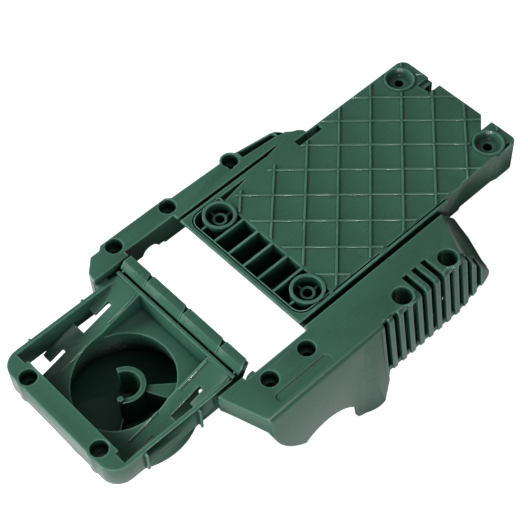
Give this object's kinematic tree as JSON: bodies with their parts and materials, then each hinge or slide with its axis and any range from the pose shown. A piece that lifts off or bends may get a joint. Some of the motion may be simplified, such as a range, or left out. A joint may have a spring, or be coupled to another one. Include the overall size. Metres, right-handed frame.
{
  "type": "power tool housing base",
  "caption": "Lower housing of a hand-held electric planer, seen sole side up: ribbed rear plate, cutter opening, side arms, vents and a front box with an adjuster bell.",
  "frame": {"origin": "middle of the four sole screws, on their seats", "axes": "+Z out of the sole side, +X towards the rear of the planer, +Y towards the narrow arm"},
  "size_m": [0.2784, 0.1415, 0.0636],
  "materials": {
    "housing": "satin"
  },
  "bodies": {
    "root": {"base_moulding": "housing"}
  },
  "joints": []
}
